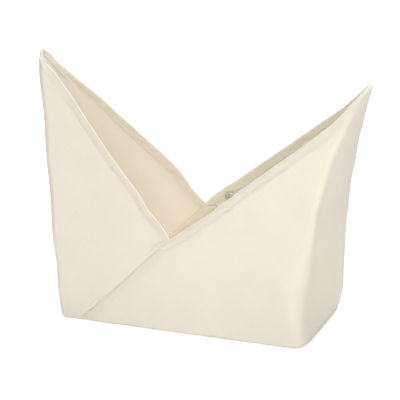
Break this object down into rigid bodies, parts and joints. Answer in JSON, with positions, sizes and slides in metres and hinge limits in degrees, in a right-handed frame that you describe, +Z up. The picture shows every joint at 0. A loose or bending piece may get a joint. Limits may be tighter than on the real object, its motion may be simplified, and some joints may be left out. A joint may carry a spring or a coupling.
{
  "type": "cotton food bag",
  "caption": "Open boxed cotton bag with a flat base and two pointed ears that lean together and tie as a handle, and a sewn snap beside the V between them.",
  "frame": {"origin": "centre of the base's underside, where the bag rests", "axes": "+Z up, +X towards the right ear, -Y towards the front flap"},
  "size_m": [0.4066, 0.1524, 0.302],
  "materials": {
    "cotton": "matte",
    "cotton_inside": "matte",
    "thread": "satin",
    "snap_metal": "satin"
  },
  "bodies": {
    "bag": {"base": "cotton", "front_wall": "cotton", "back_wall": "cotton", "right_end_wall": "cotton", "front_gore": "cotton", "back_gore": "cotton", "left_end_wall": "cotton", "left_root_front": "cotton", "left_root_back": "cotton", "right_root_front": "cotton", "right_root_back": "cotton", "left_front_hem_root": "cotton_inside", "left_back_hem_root": "cotton_inside", "right_front_hem_root": "cotton_inside", "right_back_hem_root": "cotton_inside", "front_seam": "cotton_inside", "back_seam": "cotton_inside", "left_corner_seam": "cotton_inside", "right_corner_seam": "cotton_inside", "front_tack": "thread", "back_tack": "thread", "snap_socket": "snap_metal", "snap_stud": "snap_metal"},
    "left_handle": {"left_ear": "cotton", "left_front_hem": "cotton_inside", "left_back_hem": "cotton_inside"},
    "right_handle": {"right_ear": "cotton", "right_front_hem": "cotton_inside", "right_back_hem": "cotton_inside"}
  },
  "joints": [
    {"name": "left_ear_fold", "type": "hinge", "parent": "bag", "child": "left_handle", "pos_m": [-0.1515, 0, 0.10715], "axis": [0, 1, 0], "range_deg": [0, 58], "deforming": ["left_root_front", "left_root_back", "left_front_hem_root", "left_back_hem_root"]},
    {"name": "right_ear_fold", "type": "hinge", "parent": "bag", "child": "right_handle", "pos_m": [0.1515, 0, 0.10715], "axis": [0, -1, 0], "range_deg": [0, 58], "deforming": ["right_root_front", "right_root_back", "right_front_hem_root", "right_back_hem_root"]}
  ]
}
